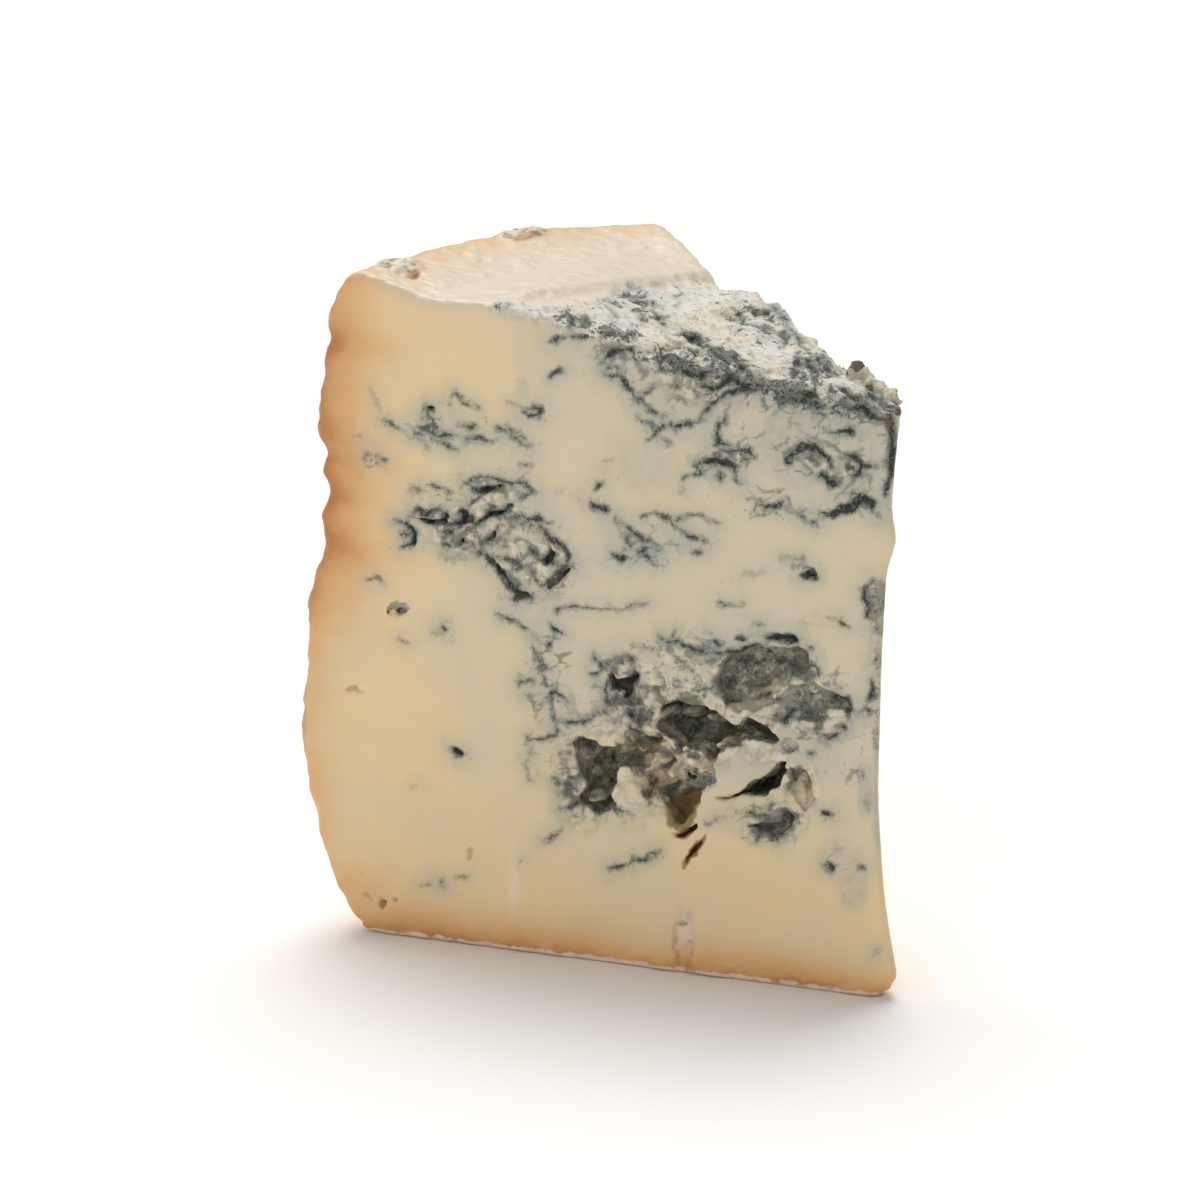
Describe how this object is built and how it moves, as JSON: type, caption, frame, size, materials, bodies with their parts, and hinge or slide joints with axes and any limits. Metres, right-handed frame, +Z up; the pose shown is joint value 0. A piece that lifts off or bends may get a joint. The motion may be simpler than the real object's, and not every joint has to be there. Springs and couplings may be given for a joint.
{
  "type": "blue cheese wedge",
  "caption": "Wedge of soft blue-veined cheese with a bulging rind, two flat cuts, a sloping torn top and open mould-lined hollows; it stands on its flat underside.",
  "frame": {"origin": "middle of the bounding box on the flat underside", "axes": "+Z up; the rind faces -X, the tip points along +X, and the cut with the open hollows faces -Y"},
  "size_m": [0.0924, 0.0666, 0.0982],
  "materials": {
    "cheese": "moist cream paste with blue-grey mould veins, fading to a thin orange-tan rind"
  },
  "bodies": {
    "root": {"cheese_wedge": "cheese"}
  },
  "joints": []
}
